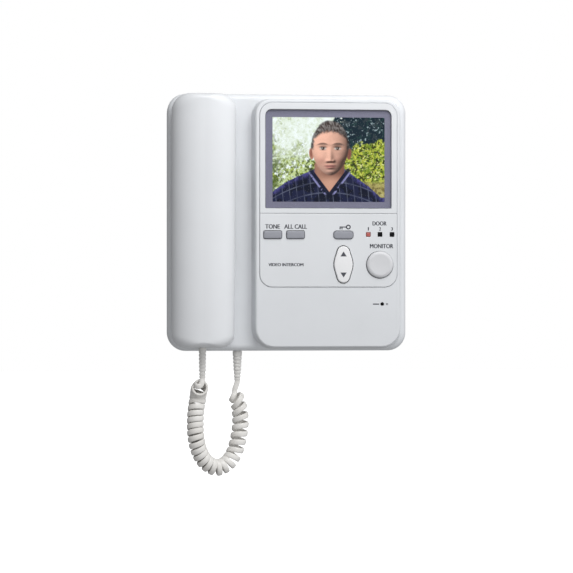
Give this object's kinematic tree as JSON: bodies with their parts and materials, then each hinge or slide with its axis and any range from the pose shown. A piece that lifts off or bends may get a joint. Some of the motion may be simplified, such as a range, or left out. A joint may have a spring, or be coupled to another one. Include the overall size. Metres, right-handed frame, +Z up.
{
  "type": "video intercom monitor",
  "caption": "Wall video intercom station: raised screen and key section on the right, corded handset in a cradle on the left, curly cord looped below.",
  "frame": {"origin": "centre of the wall bracket's back face, on the wall plane", "axes": "+Z up, +X to the right seen from the front, +Y into the wall; the front faces -Y"},
  "size_m": [0.21, 0.062, 0.3336],
  "materials": {
    "case_plastic": "satin cool white moulding",
    "handset_plastic": "satin cool white moulding",
    "key_plastic": "grey-violet satin",
    "window_acrylic": "clear polished",
    "mask_film": "grey-violet print",
    "display": "satin",
    "light_guide": "white",
    "lens_red": "tinted lens",
    "lens_dark": "dark lens",
    "black_plastic": "black",
    "circuit_board": "green solder mask",
    "steel": "zinc plated",
    "aluminium": "extruded",
    "rubber": "soft black",
    "cord_sheath": "satin warm white sheath",
    "terminal_plastic": "green"
  },
  "bodies": {
    "base": {"wall_bracket": "steel", "rear_case": "case_plastic", "front_case": "case_plastic", "screen_bezel": "case_plastic", "control_panel": "case_plastic", "screen_window": "window_acrylic", "screen_mask": "mask_film", "lcd_panel": "display", "lcd_frame": "steel", "backlight_unit": "light_guide", "main_board": "circuit_board", "key_board": "circuit_board", "terminal_block": "terminal_plastic", "transformer": "steel", "heat_sink": "aluminium", "capacitor_1": "black_plastic", "capacitor_2": "black_plastic", "ribbon_cable": "light_guide", "call_speaker": "black_plastic", "rocker_pin": "steel", "tone_switch": "black_plastic", "all_call_switch": "black_plastic", "door_release_switch": "black_plastic", "monitor_switch": "black_plastic", "scan_up_switch": "black_plastic", "scan_down_switch": "black_plastic", "door_led_1": "lens_red", "door_led_2": "lens_dark", "door_led_3": "lens_dark", "power_led": "lens_dark", "hook_spring": "steel", "hook_switch": "black_plastic", "case_screw_1": "steel", "case_screw_2": "steel", "case_screw_3": "steel", "case_screw_4": "steel", "bracket_lock_screw": "steel", "base_strain_relief": "cord_sheath", "cord_lead_handset": "cord_sheath", "cord_coil": "cord_sheath", "cord_lead_base": "cord_sheath"},
    "handset": {"handset_outer_shell": "handset_plastic", "handset_inner_shell": "handset_plastic", "receiver_capsule": "black_plastic", "receiver_seal": "rubber", "microphone_capsule": "steel", "microphone_seal": "rubber", "handset_weight": "steel", "handset_screw_1": "steel", "handset_screw_2": "steel", "handset_strain_relief": "cord_sheath"},
    "tone_key": {"tone_button": "key_plastic"},
    "all_call_key": {"all_call_button": "key_plastic"},
    "door_release_key": {"door_release_button": "key_plastic"},
    "monitor_key": {"monitor_button": "case_plastic"},
    "scan_key": {"scan_rocker": "handset_plastic"},
    "hook": {"hook_plunger": "light_guide"}
  },
  "joints": [
    {"name": "handset_lift", "type": "slide", "parent": "base", "child": "handset", "axis": [0, -1, 0], "range_m": [0, 0.12]},
    {"name": "hook_rise", "type": "slide", "parent": "base", "child": "hook", "axis": [0, -1, 0], "range_m": [0, 0.004]},
    {"name": "tone_press", "type": "slide", "parent": "base", "child": "tone_key", "axis": [0, 1, 0], "range_m": [0, 0.001], "stiffness_N_per_m": 400, "springref_m": -0.0005},
    {"name": "all_call_press", "type": "slide", "parent": "base", "child": "all_call_key", "axis": [0, 1, 0], "range_m": [0, 0.001], "stiffness_N_per_m": 400, "springref_m": -0.0005},
    {"name": "door_release_press", "type": "slide", "parent": "base", "child": "door_release_key", "axis": [0, 1, 0], "range_m": [0, 0.001], "stiffness_N_per_m": 400, "springref_m": -0.0005},
    {"name": "monitor_press", "type": "slide", "parent": "base", "child": "monitor_key", "axis": [0, 1, 0], "range_m": [0, 0.0013], "stiffness_N_per_m": 500, "springref_m": -0.0005},
    {"name": "scan_rock", "type": "hinge", "parent": "base", "child": "scan_key", "pos_m": [0.0476, -0.0408, -0.0369], "axis": [1, 0, 0], "range_deg": [-4, 4], "stiffness_Nm_per_rad": 0.06}
  ],
  "couplings": [
    {"joint": "hook_rise", "follows": "handset_lift", "ratio": 0.0333}
  ]
}
